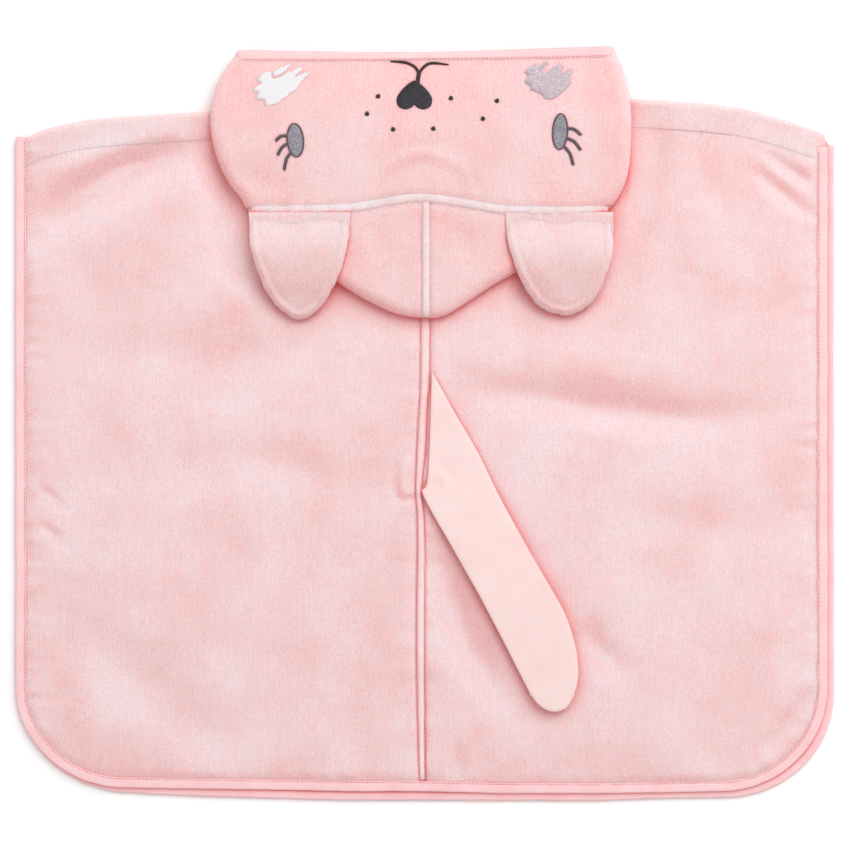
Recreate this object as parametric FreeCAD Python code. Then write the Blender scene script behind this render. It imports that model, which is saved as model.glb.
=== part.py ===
import FreeCAD, Part
import math
import os

os.makedirs("parts", exist_ok=True)

# Hooded baby towel (bath poncho), lying face down and flat, with its hood laid back.
# X runs across the shoulders, Y from hem to hood opening, Z up from the table. Millimetres.

Vec = FreeCAD.Vector

# Overall size
half_width = 301.5          # side edge to the middle
hem_y = -277.0              # bottom of the front panel
back_hem_y = -270.0         # bottom of the back panel, which lies a little short of the front
back_right_x = 296.5        # back panel's right edge, inside the front's
front_left_x = -299.0       # front panel's left edge, inside the back's
corner_radius = 78.0        # rounded lower corners
far = 400.0                 # beyond the towel, for regions that are only cutting tools

# Cloth and trim
cloth = 3.0                 # velour terry
gap = 0.3                   # air between layers that move apart
tuck_shrink = 1.0           # how far the cloth edge stops inside its folded binding
tuck_squash = 0.7           # how much each face of that edge is pressed in
binding_width = 8.0
opening_binding_width = 7.0
seam_height = 1.2           # felled centre seam above the cloth
ear_seam_height = 0.6
thread_height = 0.6         # raised satin stitches
tail_cloth = 1.4            # smooth jersey, one of two layers
ear_cloth = 3.2
lip = 3.0                   # wall where the hood's cloth turns over at its side folds

# Levels, from the table up
front_z = 0.0
back_z = front_z + cloth + gap
back_top = back_z + cloth
hood_under_z = back_top + seam_height + 0.4
cavity = 5.0                # room inside the flattened hood
hood_top_z = hood_under_z + cloth + cavity
hood_top = hood_top_z + cloth
fold_z = hood_under_z + cloth + cavity / 2
ear_z = hood_top + 0.4
tail_z = back_top + seam_height + 0.5

# Neck, hood and ears
shoulder_left = [(-101, 235), (-157, 231), (-242, 225), (-277, 218), (-301.5, 208)]
shoulder_right = [(101, 242), (151, 240), (211, 236), (246, 230), (301.5, 208)]
back_neck_drop = (0, 226)
front_neck_drop = (0, 196)
neck_y = 222.0              # where the hood's under layer ends
mouth_y = 262.0             # the side folds' walls stop here, so that the hood's mouth stays open
opening_edge = [(-137.5, 274), (-4, 272.4), (138, 277)]
hood_fold = [
    (-137.5, 274), (-152, 250), (-157, 225), (-144, 182), (-131, 159), (-100, 131), (-62, 103), (-21, 81.5),
    (12, 79.5), (51, 103), (100, 133), (137, 161), (148, 181), (151, 225), (146, 258), (138, 277)]
ear_seam_line = [(-133, 158), (-94, 157.5), (-54, 159), (-2, 166), (59, 157.5), (98, 157), (139, 161)]
ear_seam_width = 7.0
crown_seam_width = 6.0
ear_hinge_y = 151.5
ear_bend_y = 104.0          # the ears sag over the crown's edge below this line
ear_sag = 7.0
ear_left_outline = [(-129, 151.2), (-127, 132), (-116, 97), (-93, 77), (-68, 97), (-57, 134), (-54, 151.2)]
ear_right_outline = [(59, 151.2), (60, 136), (72, 101), (94.5, 81), (121, 89), (136, 128), (137.5, 151.2)]

# Centre seam and tail
seam_left = [(-3, 222), (-3.8, 47), (-7.2, -40), (-6.6, -166), (-4.6, -260)]
seam_right = [(3, 222), (4.1, 47), (1.0, -37), (0.2, -166), (0.2, -260)]
tail_root = [(1.6, -43), (4.9, 38.6)]
tail_tip = [(101, -135), (110, -160), (112.5, -182), (107, -199), (95, -210), (81, -203), (72, -187)]
tail_right_bend = (40, -22)
tail_low_corner = (-1.5, -51.4)

# Embroidery on the face
nose_centre = (-7.8, 241.2)
nose_size = (26.4, 21.2)
mouth_stem = [(-5.4, 253.4), (-4, 257.5)]
mouth_left = [(-4, 256.5), (-12, 264), (-25, 265.4)]
mouth_right = [(-4, 256.5), (3.7, 264.6), (17, 263)]
mouth_line = 1.8
freckle_diameter = 3.7
freckles = [(-34.4, 240.2), (-42.5, 227.4), (-23.5, 215.9), (6, 216.5), (18.8, 238.8), (42.1, 223.8), (52.4, 236.9)]
eye_line = 1.8
eyes = {
    "left": {
        "centre": (-94.7, 208), "semi": (6.6, 12.8), "tilt": 5,
        "lashes": [[(-100, 211), (-109, 207.6)], [(-100, 205), (-107.6, 197.3)], [(-96.5, 200), (-103, 186.5)]],
    },
    "right": {
        "centre": (98.6, 214.2), "semi": (6.0, 13.6), "tilt": -3,
        "lashes": [[(103.5, 216), (113.8, 211.8)], [(103, 209), (113.5, 200.9)], [(100.5, 203), (108.2, 190)]],
    },
}
white_patch = [(-128, 240), (-120, 258), (-104, 264), (-83, 263), (-86, 244), (-108, 233), (-122, 233)]
silver_patch = [(71, 250), (84, 264), (104, 265), (108, 252), (98, 241), (84, 238), (76, 240)]


def points(pairs):
    return [Vec(x, y, 0) for x, y in pairs]


def line(start, end):
    return Part.LineSegment(Vec(*start, 0), Vec(*end, 0)).toShape()


def spline(pairs):
    curve = Part.BSplineCurve()
    curve.interpolate(Points=points(pairs))
    return curve.toShape()


def region(*edges):
    return Part.Face(Part.Wire(edges))


def prism(face, low, high):
    solid = face.copy()
    solid.translate(Vec(0, 0, low))
    return solid.extrude(Vec(0, 0, high - low))


def smooth_region(pairs):
    curve = Part.BSplineCurve()
    curve.interpolate(Points=points(pairs), PeriodicFlag=True)
    return Part.Face(Part.Wire([curve.toShape()]))


def block(x_low, x_high, y_low, y_high):
    corners = [(x_low, y_low), (x_high, y_low), (x_high, y_high), (x_low, y_high)]
    return Part.Face(Part.makePolygon(points(corners + corners[:1])))


def shifted(pairs, distance):
    """The same line, moved to its left by a distance."""
    moved = []
    for i, (x, y) in enumerate(pairs):
        before, after = pairs[max(i - 1, 0)], pairs[min(i + 1, len(pairs) - 1)]
        dx, dy = after[0] - before[0], after[1] - before[1]
        share = distance / math.hypot(dx, dy)
        moved.append((x - dy * share, y + dx * share))
    return moved


def band(pairs, width):
    """A strip of even width along a smooth line."""
    left, right = shifted(pairs, width / 2), shifted(pairs, -width / 2)
    edge = spline if len(pairs) > 2 else lambda two: line(*two)
    return region(edge(left), line(left[-1], right[-1]), edge(right), line(right[0], left[0]))


def skirt(left, right, hem, inset):
    """Everything inside the side and hem edges, less an inset, and open at the top."""
    left, right, hem = left + inset, right - inset, hem + inset
    radius = corner_radius - inset
    turn = radius * math.sqrt(0.5)
    left_arc = Part.Arc(
        Vec(left, hem + radius, 0), Vec(left + radius - turn, hem + radius - turn, 0), Vec(left + radius, hem, 0))
    right_arc = Part.Arc(
        Vec(right - radius, hem, 0), Vec(right - radius + turn, hem + radius - turn, 0), Vec(right, hem + radius, 0))
    return region(
        line((left, far), (left, hem + radius)), left_arc.toShape(),
        line((left + radius, hem), (right - radius, hem)), right_arc.toShape(),
        line((right, hem + radius), (right, far)), line((right, far), (left, far)))


def below_shoulders(neck_drop, lowered=0.0):
    """Everything below the shoulder line and the neck's scoop."""
    left = [(x, y - lowered) for x, y in shoulder_left]
    right = [(x, y - lowered) for x, y in shoulder_right]
    scoop = Part.Arc(Vec(*left[0], 0), Vec(*neck_drop, 0), Vec(*right[0], 0)).toShape()
    ends = [left[-1], (-far, left[-1][1]), (-far, -far), (far, -far), (far, right[-1][1]), right[-1]]
    outside = [line(a, b) for a, b in zip(ends, ends[1:])]
    return region(spline(left), *outside, spline(right), scoop)


def bound_cloth(whole, inside, tucked, low):
    """Cloth whose edge is pressed thin inside a folded binding, and that binding."""
    high = low + cloth
    shell = prism(whole, low, high)
    core = prism(tucked, low + tuck_squash, high - tuck_squash).common(shell)
    body = shell.common(prism(inside, low, high))
    panel = body.fuse(core).removeSplitter()
    return panel, shell.cut(body).cut(core)


def towel_body():
    back_skirt = [skirt(-half_width, back_right_x, back_hem_y, inset) for inset in (0, binding_width, tuck_shrink)]
    front_skirt = [skirt(front_left_x, half_width, hem_y, inset) for inset in (0, binding_width, tuck_shrink)]
    front_cut, back_cut = below_shoulders(front_neck_drop), below_shoulders(back_neck_drop, cloth)

    front = front_skirt[0].common(front_cut)
    front_panel, front_binding = bound_cloth(front, front_skirt[1], front_skirt[2], front_z)
    # The front cloth turns over the shoulders and meets the back panel there.
    over_neck = block(-far, far, -far, far).cut(block(shoulder_left[0][0], shoulder_right[0][0], -far, far))
    shoulder = front.cut(back_cut).common(over_neck).common(skirt(-half_width, back_right_x, back_hem_y, 0))
    shoulder = shoulder.common(block(-far, far, 100, far))
    front_panel = front_panel.fuse(prism(shoulder, front_z + cloth, back_top)).removeSplitter()

    back, back_binding = bound_cloth(back_skirt[0].common(back_cut), back_skirt[1], back_skirt[2], back_z)
    seam_middle = [((a[0] + b[0]) / 2, a[1]) for a, b in zip(seam_left, seam_right)]
    seam_x, low_x = seam_middle[0][0], seam_middle[-1][0]
    left_half = region(
        line((seam_x, far), seam_middle[0]), spline(seam_middle), line(seam_middle[-1], (low_x, -far)),
        line((low_x, -far), (-far, -far)), line((-far, -far), (-far, far)), line((-far, far), (seam_x, far)))
    left_side = prism(left_half, back_z, back_top)
    fell = region(
        spline(seam_left), line(seam_left[-1], seam_right[-1]), spline(seam_right), line(seam_right[0], seam_left[0]))
    tape = block(-88, 88, neck_y + 1.6, neck_y + 4)
    return {
        "front_panel": front_panel,
        "front_edge_binding": front_binding,
        "back_panel_left": back.common(left_side),
        "back_panel_right": back.cut(left_side),
        "back_edge_binding": back_binding,
        "centre_back_seam": prism(fell, back_top, back_top + seam_height),
        "neck_seam_tape": prism(tape, back_z, back_top + seam_height - 0.2).cut(back),
    }


def below_opening(drop):
    """Everything below the hood's opening edge, moved down by a drop."""
    (x_left, y_left), middle, (x_right, y_right) = opening_edge
    edge = [(x_left - 30, y_left), middle, (x_right + 30, y_right)]
    edge = [(x, y - drop) for x, y in edge]
    return region(
        spline(edge), line(edge[-1], (far, -far)), line((far, -far), (-far, -far)), line((-far, -far), edge[0]))


def hood():
    outline = region(spline(hood_fold), spline(opening_edge))
    inner = shifted(hood_fold, lip)
    rim = outline.cut(region(spline(inner), line(inner[0], inner[-1]))).common(block(-far, far, -far, mouth_y))
    inside, tucked = below_opening(opening_binding_width), below_opening(tuck_shrink)
    cloth_top, opening_binding = bound_cloth(outline, inside, tucked, hood_top_z)
    shell = cloth_top.fuse(prism(rim, fold_z + gap / 2, hood_top_z)).removeSplitter()

    seam_ends = [(-far, ear_seam_line[0][1])] + ear_seam_line + [(far, ear_seam_line[-1][1])]
    above = region(
        line(seam_ends[0], seam_ends[1]), spline(ear_seam_line), line(seam_ends[-2], seam_ends[-1]),
        line(seam_ends[-1], (far, far)), line((far, far), (-far, far)), line((-far, far), seam_ends[0]))
    face_side = prism(above, 0, far)
    left_side = prism(block(-far, 0, -far, far), 0, far)
    crown = shell.cut(face_side)

    under_rim = rim.common(block(-far, far, -far, neck_y))
    under = prism(outline.common(block(-far, far, -far, neck_y)), hood_under_z, hood_under_z + cloth)
    under = under.fuse(prism(under_rim, hood_under_z + cloth, fold_z - gap / 2)).removeSplitter()

    crown_seam = block(-crown_seam_width / 2 - 0.8, crown_seam_width / 2 - 0.8, 83, 161.5)
    return {
        "face_panel": shell.common(face_side),
        "crown_left": crown.common(left_side),
        "crown_right": crown.cut(left_side),
        "hood_under_left": under.common(left_side),
        "hood_under_right": under.cut(left_side),
        "hood_opening_binding": opening_binding,
        "ear_seam_band": prism(band(ear_seam_line, ear_seam_width).common(outline), hood_top, hood_top + ear_seam_height),
        "crown_centre_seam": prism(crown_seam, hood_top, hood_top + ear_seam_height),
    }


def ear(outline_points, side):
    """Two padded layers that lie flat on the crown and sag over its edge."""
    outline = region(spline(outline_points), line(outline_points[-1], outline_points[0]))
    tip_y = min(y for x, y in outline_points) - 2
    layers = {}
    for name, low in (("lining", ear_z), ("outer", ear_z + ear_cloth)):
        high = low + ear_cloth
        profile = [
            (ear_hinge_y, low), (ear_bend_y, low), (tip_y, low - ear_sag),
            (tip_y, high - ear_sag), (ear_bend_y, high), (ear_hinge_y, high), (ear_hinge_y, low)]
        strip = Part.Face(Part.makePolygon([Vec(-far, y, z) for y, z in profile])).extrude(Vec(2 * far, 0, 0))
        layers[f"ear_{side}_{name}"] = strip.common(prism(outline, 0, far))
    return layers


def tail():
    root_low, root_high = tail_root
    outline = region(
        spline([root_high, tail_right_bend, tail_tip[0]]), spline(tail_tip), line(tail_tip[-1], tail_low_corner),
        line(tail_low_corner, root_low), line(root_low, root_high))
    middle = tail_z + tail_cloth
    return {
        "tail_lower": prism(outline, tail_z, middle),
        "tail_upper": prism(outline, middle, middle + tail_cloth),
    }


def stitched(*faces):
    """Raised satin stitches over flat shapes on the hood's face."""
    solid = prism(faces[0], hood_top, hood_top + thread_height)
    for face in faces[1:]:
        solid = solid.fuse(prism(face, hood_top, hood_top + thread_height))
    return solid.removeSplitter()


def nose():
    x, y = nose_centre
    w, h = nose_size[0] / 2, nose_size[1] / 2
    half = [(0, h), (w * 0.36, h * 0.76), (w * 0.74, h * 0.3), (w, -h * 0.3), (w * 0.6, -h), (0, -h * 0.72)]
    right = [(x + u, y + v) for u, v in half]
    left = [(x - u, y + v) for u, v in half]
    return stitched(region(spline(right), spline(left)))


def eye(centre, semi, tilt, lashes):
    """A filled oval, and the dark line round it with its lashes."""
    def oval(grow):
        shape = Part.Ellipse(Vec(0, 0, 0), semi[1] + grow, semi[0] + grow).toShape()
        face = Part.Face(Part.Wire([shape]))
        face.rotate(Vec(0, 0, 0), Vec(0, 0, 1), 90 + tilt)
        face.translate(Vec(*centre, 0))
        return face
    fill, whole = oval(-eye_line), oval(0)
    outline = [whole.cut(fill)] + [band(lash, eye_line).cut(whole) for lash in lashes]
    return stitched(fill), stitched(*outline)


def embroidery():
    dots = [Part.makeCylinder(freckle_diameter / 2, thread_height, Vec(x, y, hood_top)) for x, y in freckles]
    pieces = {
        "nose_embroidery": nose(),
        "mouth_embroidery": stitched(
            band(mouth_stem, mouth_line * 1.6), band(mouth_left, mouth_line), band(mouth_right, mouth_line)),
        "freckle_embroidery": Part.makeCompound(dots),
        "cheek_patch_white": stitched(smooth_region(white_patch)),
        "cheek_patch_silver": stitched(smooth_region(silver_patch)),
    }
    for side, shape in eyes.items():
        pieces[f"eye_{side}_fill"], pieces[f"eye_{side}_outline"] = eye(**shape)
    return pieces


nodes = towel_body() | hood() | embroidery() | tail()
nodes |= ear(ear_left_outline, "left") | ear(ear_right_outline, "right")

for name, shape in nodes.items():
    box = shape.BoundBox
    print(
        f"{name:24s} solids {len(shape.Solids)}  valid {shape.isValid()}  {shape.Volume:10.0f} mm3 "
        f"x {box.XMin:7.1f} {box.XMax:7.1f}  y {box.YMin:7.1f} {box.YMax:7.1f}  z {box.ZMin:5.1f} {box.ZMax:5.1f}")
    shape.exportStep(f"parts/{name}.step")
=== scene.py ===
import math
import random

import bmesh
import bpy
import numpy as np
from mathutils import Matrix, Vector, noise


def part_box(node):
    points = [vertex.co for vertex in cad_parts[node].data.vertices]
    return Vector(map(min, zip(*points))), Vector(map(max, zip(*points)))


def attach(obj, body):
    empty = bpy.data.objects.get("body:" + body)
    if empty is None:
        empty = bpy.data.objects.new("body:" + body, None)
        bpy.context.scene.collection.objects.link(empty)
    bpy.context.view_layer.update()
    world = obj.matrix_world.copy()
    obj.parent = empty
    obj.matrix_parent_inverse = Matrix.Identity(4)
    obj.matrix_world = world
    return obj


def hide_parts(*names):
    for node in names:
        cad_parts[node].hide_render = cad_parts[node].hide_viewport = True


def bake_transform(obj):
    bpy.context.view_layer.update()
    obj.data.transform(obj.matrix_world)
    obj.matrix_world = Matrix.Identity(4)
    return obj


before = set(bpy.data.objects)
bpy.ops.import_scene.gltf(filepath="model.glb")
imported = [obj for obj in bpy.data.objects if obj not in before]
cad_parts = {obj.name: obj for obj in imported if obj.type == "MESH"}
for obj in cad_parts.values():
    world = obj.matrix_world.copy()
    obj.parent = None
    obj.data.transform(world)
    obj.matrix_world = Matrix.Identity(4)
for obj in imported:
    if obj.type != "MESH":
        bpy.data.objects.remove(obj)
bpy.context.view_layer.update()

mm = 0.001
rng = random.Random(7)

# Levels come from the frame, in mm above the table.
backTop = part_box("back_panel_left")[1].z / mm
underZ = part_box("hood_under_left")[0].z / mm
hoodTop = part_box("face_panel")[1].z / mm
foldZ = (underZ + hoodTop) / 2


def sidesOf(node):
    low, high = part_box(node)
    return low.x / mm, high.x / mm, low.y / mm


towel = {
    "back": sidesOf("back_edge_binding"),      # left side, right side and hem
    "front": sidesOf("front_edge_binding"),
    "cornerRadius": 78.0,
    "neckHalf": 101,
    "neckY": 224,
    "shoulderLeft": [(-300, 208), (-289, 214), (-277, 218.5), (-242, 225), (-157, 231), (-101, 235)],
    "shoulderRight": [(101, 242), (151, 240), (211, 236), (246, 230), (292, 215), (301, 206)],
    "loft": 2.0,          # how far the back panel stands above its edges
    "cloth": 2.3,
    "shoulderFold": 3.0,  # radius of the turn over the shoulders
    "shoulderDepth": 21,  # from the fold to the shoulder seam
    # how far each hem stands above a straight line
    "backRise": [(-302, 3.2), (-239, 3.2), (-150, 1.6), (-60, 0.4), (0, 0), (60, -1.2), (129, -1.7), (202, 0),
                 (302, 0)],
    "frontRise": [(-302, 7), (-239, 6.5), (-165, 3.2), (-60, 0.4), (0, 0), (129, 0), (202, 2.2), (302, 3)],
}

hoodShape = {
    "opening": [(-137.5, 274), (-70, 272.8), (-4, 272.4), (70, 274.5), (138, 277)],
    "leftFold": [(-131, 158), (-135, 166), (-143.5, 177), (-152, 194), (-156.5, 212), (-157, 229), (-152.5, 250),
                 (-145, 263), (-137.5, 274)],
    "rightFold": [(137, 160), (145, 173), (150.2, 194), (151, 231), (146, 258), (138, 277)],
    "earSeam": [(-131, 158), (-100, 157.4), (-54, 159), (-26, 163.5), (-2, 166), (33, 161.5), (59, 157.5),
                (111, 156.5), (137, 160)],
    "crownEdge": [(-131, 158), (-108, 137), (-84, 118), (-62, 103), (-42, 91), (-21, 81.5), (-1, 78.5), (14, 80),
                  (31, 90), (51, 103), (74, 116), (105, 136), (137, 160)],
    "crownSeamX": 0.7,
    "puff": 0.6,          # how far the hood's upper face stands above the plain solid's
    "foldRadius": 10.0,
    "cloth": 2.2,
    "neck": 222.0,
}


def smooth(points, count):
    # A Catmull-Rom curve through the points, at even steps.
    p = np.array(points, float)
    p = np.vstack([2 * p[0] - p[1], p, 2 * p[-1] - p[-2]])
    parts = []
    t = np.linspace(0, 1, 24, endpoint=False)[:, None]
    for a, b, c, d in zip(p, p[1:], p[2:], p[3:]):
        parts.append(0.5 * (2 * b + (c - a) * t + (2 * a - 5 * b + 4 * c - d) * t ** 2
                            + (3 * b - a - 3 * c + d) * t ** 3))
    return even(np.vstack([*parts, p[-2:-1]]), count)


def lengthAlong(path):
    return np.r_[0, np.cumsum(np.linalg.norm(np.diff(path, axis=0), axis=1))]


def sideways(path):
    # Unit vectors to the left of a path.
    tangent = np.gradient(path[:, :2], axis=0)
    tangent /= np.linalg.norm(tangent, axis=1)[:, None]
    return np.column_stack([-tangent[:, 1], tangent[:, 0]])


def noiseRow(along, size, y, seed):
    # One noise value for each length along a path; y is a number or one for each length.
    return np.array([noise.noise((s / size, t, seed)) for s, t in zip(along, np.broadcast_to(y, len(along)))])


def softStep(t):
    return t * t * (3 - 2 * t)


def even(path, count):
    path = np.asarray(path, float)
    along = lengthAlong(path)
    at = np.linspace(0, along[-1], count)
    return np.column_stack([np.interp(at, along, path[:, k]) for k in range(path.shape[1])])


def skirtEdge(which, inset=0.0, top=(209, 207), count=700):
    # Down the left side of the back or front, round the hem's two corners, and up the right side.
    left, right, hem = towel[which]
    rise = np.array(towel[f"{which}Rise"])
    left, right, hem, r = left + inset, right - inset, hem + inset, towel["cornerRadius"] - inset
    turn = np.radians(np.linspace(180, 270, 40))
    leftArc = np.column_stack([left + r + r * np.cos(turn), hem + r + r * np.sin(turn)])
    rightArc = np.column_stack([right - r + r * np.cos(turn + np.pi / 2), hem + r + r * np.sin(turn + np.pi / 2)])
    path = even(np.vstack([[(left, top[0])], leftArc, rightArc, [(right, top[1])]]), count)
    fade = np.clip((hem + 90 - path[:, 1]) / 90, 0, 1)
    path[:, 1] += np.interp(path[:, 0], rise[:, 0], rise[:, 1]) * softStep(fade)
    return path


def nearest(xy, path, most=220):
    # For each point, its distance to a path and the length along the path there.
    if len(path) > most:
        path = even(path, most)
    a, b = path[:-1], path[1:]
    ab = b - a
    lengths = np.linalg.norm(ab, axis=1)
    start = np.r_[0, np.cumsum(lengths)[:-1]]
    best, along = np.full(len(xy), 1e9), np.zeros(len(xy))
    for k in range(len(a)):
        rel = xy - a[k]
        t = np.clip(rel @ ab[k] / max(lengths[k] ** 2, 1e-9), 0, 1)
        d = np.linalg.norm(rel - t[:, None] * ab[k], axis=1)
        closer = d < best
        best[closer] = d[closer]
        along[closer] = start[k] + t[closer] * lengths[k]
    return best, along


def noiseAt(xy, size, seed):
    return np.array([noise.noise((x / size, y / size, seed)) for x, y in xy])


def foldRelief(xy, folds):
    # Each fold is a soft ridge or valley along a line; it fades out at both ends.
    total = np.zeros(len(xy))
    for width, height, points in folds:
        path = smooth(points, 24)
        d, along = nearest(xy, path)
        fade = np.sin(np.pi * np.clip(along / lengthAlong(path)[-1], 0.04, 0.96)) ** 0.7
        total += height * np.exp(-(d / width) ** 2) * fade
    return total


def coords(bm):
    return np.array([v.co for v in bm.verts], float).reshape(-1, 3)


def setCoords(bm, co):
    for v, c in zip(bm.verts, co):
        v.co = c


def makeObject(name, bm, material, smoothShade=True):
    # Meshes are drawn in mm; the scene is in metres.
    bmesh.ops.scale(bm, vec=(mm, mm, mm), verts=bm.verts)
    mesh = bpy.data.meshes.new(name)
    for face in bm.faces:
        face.smooth = smoothShade
    bm.to_mesh(mesh)
    bm.free()
    piece = bpy.data.objects.new(name, mesh)
    bpy.context.scene.collection.objects.link(piece)
    mesh.materials.append(material)
    return piece


def clothPiece(name, bm, material, thickness):
    piece = makeObject(name, bm, material)
    modifier = piece.modifiers.new("cloth", "SOLIDIFY")
    modifier.thickness = thickness * mm
    modifier.offset = -1.0
    return piece


def setHeights(bm, heightAt):
    co = coords(bm)
    co[:, 2] = heightAt(co[:, :2])
    setCoords(bm, co)


def clustered(count, both=True):
    # Steps from 0 to 1, close together where the cloth turns over.
    t = np.linspace(0, 1, count)
    if not both:
        return t ** 1.5
    return np.where(t < 0.5, 0.5 * (2 * t) ** 1.5, 1 - 0.5 * (2 - 2 * t).clip(0) ** 1.5)


def pointAt(path, share):
    steps = np.linspace(0, 1, len(path))
    return np.column_stack([np.interp(share[:, 0], steps, path[:, k]) for k in (0, 1)])


def patch(left, right, uSteps, vSteps, low=None, high=None):
    # A grid whose sides follow the left and right curves, and whose ends follow low and high.
    left, right = even(left, 400), even(right, 400)
    nu, nv = len(uSteps), len(vSteps)
    bm = bmesh.new()
    bmesh.ops.create_grid(bm, x_segments=nu - 1, y_segments=nv - 1, size=0.5)
    co = coords(bm)
    iu = np.rint((co[:, 0] + 0.5) * (nu - 1)).astype(int)
    iv = np.rint((co[:, 1] + 0.5) * (nv - 1)).astype(int)
    u, v = np.asarray(uSteps)[iu][:, None], np.asarray(vSteps)[iv][:, None]
    xy = pointAt(left, v) * (1 - u) + pointAt(right, v) * u
    if low is not None:
        low, high = even(low, 400), even(high, 400)
        corner = [left[0], right[0], left[-1], right[-1]]
        xy += (pointAt(low, u) * (1 - v) + pointAt(high, u) * v
               - ((1 - v) * ((1 - u) * corner[0] + u * corner[1]) + v * ((1 - u) * corner[2] + u * corner[3])))
    setCoords(bm, np.column_stack([xy, np.zeros(len(xy))]))
    return bm


def sweep(path, profile, closed=False):
    # Draws a profile, as (across, up) pairs, along a path of (x, y, z).
    # The profile may be one list, or one list for each point of the path.
    path = np.asarray(path, float)
    profile = np.asarray(profile, float)
    if profile.ndim == 2:
        profile = np.repeat(profile[None], len(path), axis=0)
    n, m = len(path), profile.shape[1]
    bm = bmesh.new()
    bmesh.ops.create_grid(bm, x_segments=n - 1, y_segments=(m if closed else m - 1), size=0.5)
    co = coords(bm)
    rows = m if closed else m - 1
    i = np.rint((co[:, 0] + 0.5) * (n - 1)).astype(int)
    j = np.rint((co[:, 1] + 0.5) * rows).astype(int) % m
    across = np.column_stack([sideways(path), np.zeros(n)])
    part = profile[i, j]
    setCoords(bm, path[i] + across[i] * part[:, :1] + np.array([0, 0, 1.0]) * part[:, 1:2])
    if closed:
        bmesh.ops.remove_doubles(bm, verts=bm.verts, dist=0.001)
        ends = [e for e in bm.edges if e.is_boundary]
        bmesh.ops.holes_fill(bm, edges=ends, sides=m)
    bmesh.ops.recalc_face_normals(bm, faces=bm.faces)
    return bm


def addStrand(bm, path, width, height, around=5):
    # One raised thread along a path of (x, y, z): a half-round strip, closed below.
    path = np.asarray(path, float)
    fromEnd = lengthAlong(path)
    fromEnd = np.minimum(fromEnd, fromEnd[-1] - fromEnd)
    turn = np.linspace(0, math.pi, around)
    profile = np.column_stack([np.cos(turn) * width / 2, np.sin(turn) * height - 0.12])
    profiles = profile[None] * np.clip(0.5 + fromEnd / width, 0, 1)[:, None, None]
    part = sweep(path, profiles, closed=True)
    mesh = bpy.data.meshes.new("strand")
    part.to_mesh(mesh)
    part.free()
    bm.from_mesh(mesh)
    bpy.data.meshes.remove(mesh)


def stitchRow(name, path, material, length=2.3, gapLength=0.9, width=0.55, height=0.35):
    # A row of lockstitches along a path of (x, y, z).
    path = np.asarray(path, float)
    count = max(int(lengthAlong(path)[-1] / (length + gapLength)), 2)
    fine = even(path, count * 4 + 1)
    bm = bmesh.new()
    for k in range(count):
        addStrand(bm, fine[k * 4:k * 4 + 4], width, height, around=4)
    return makeObject(name, bm, material)


def finishPiece(piece, body, replaced=()):
    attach(piece, body)
    if replaced:
        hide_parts(*replaced)


def linear(hexCode):
    values = [int(hexCode[i:i + 2], 16) / 255 for i in (1, 3, 5)]
    return [v / 12.92 if v <= 0.04045 else ((v + 0.055) / 1.055) ** 2.4 for v in values] + [1.0]


def addNode(tree, kind, settings=None, links=None):
    # Settings name attributes or inputs; links go from an input's name to an output socket.
    node = tree.nodes.new(kind)
    for key, value in (settings or {}).items():
        if isinstance(key, str) and hasattr(node, key):
            setattr(node, key, value)
        else:
            node.inputs[key].default_value = value
    for key, source in (links or {}).items():
        tree.links.new(source, node.inputs[key])
    return node


def newMaterial(name, settings):
    material = bpy.data.materials.new(name)
    material.use_nodes = True
    tree = material.node_tree
    tree.nodes.clear()
    shader = addNode(tree, "ShaderNodeBsdfPrincipled", settings)
    addNode(tree, "ShaderNodeOutputMaterial", links={"Surface": shader.outputs[0]})
    place = addNode(tree, "ShaderNodeTexCoord").outputs["Object"]
    return material, tree, shader, place


def setBump(tree, shader, height, strength, distance):
    bump = addNode(tree, "ShaderNodeBump", {"Strength": strength, "Distance": distance}, {"Height": height})
    tree.links.new(bump.outputs[0], shader.inputs["Normal"])


def ramp(tree, source, stops):
    node = addNode(tree, "ShaderNodeValToRGB", links={"Fac": source})
    while len(node.color_ramp.elements) < len(stops):
        node.color_ramp.elements.new(0.5)
    for element, (position, hexCode) in zip(node.color_ramp.elements, stops):
        element.position = position
        element.color = linear(hexCode)
    return node.outputs["Color"]


def mixColours(tree, amount, a, b, kind="MIX"):
    node = addNode(tree, "ShaderNodeMix", {"data_type": "RGBA", "blend_type": kind})
    for index, value in ((0, amount), (6, a), (7, b)):
        if hasattr(value, "is_output"):
            tree.links.new(value, node.inputs[index])
        else:
            node.inputs[index].default_value = value
    return node.outputs[2]


def scaled(tree, place, scale):
    return addNode(tree, "ShaderNodeMapping", {"Scale": scale}, {"Vector": place}).outputs[0]


def paintedCreaseShade(tree, colour):
    # Painted shade: where the AO node finds folds closing about the cloth, in creases and between parts, the colour is
    # painted a deeper, darker pink, standing in for light that bounces about between folds of pink cloth.
    openness = addNode(tree, "ShaderNodeAmbientOcclusion", {"samples": 8, "Distance": 0.02}).outputs["AO"]
    closed = addNode(tree, "ShaderNodeMath", {"operation": "MULTIPLY_ADD", 1: -1.3, 2: 1.3, "use_clamp": True},
                     {0: openness}).outputs[0]
    return mixColours(tree, closed, colour, linear("#FF9694"), "MULTIPLY")


def noiseNode(tree, place, scale, detail=3.0, rough=0.55):
    return addNode(tree, "ShaderNodeTexNoise", {"Scale": scale, "Detail": detail, "Roughness": rough},
                   {"Vector": place}).outputs["Fac"]


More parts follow.
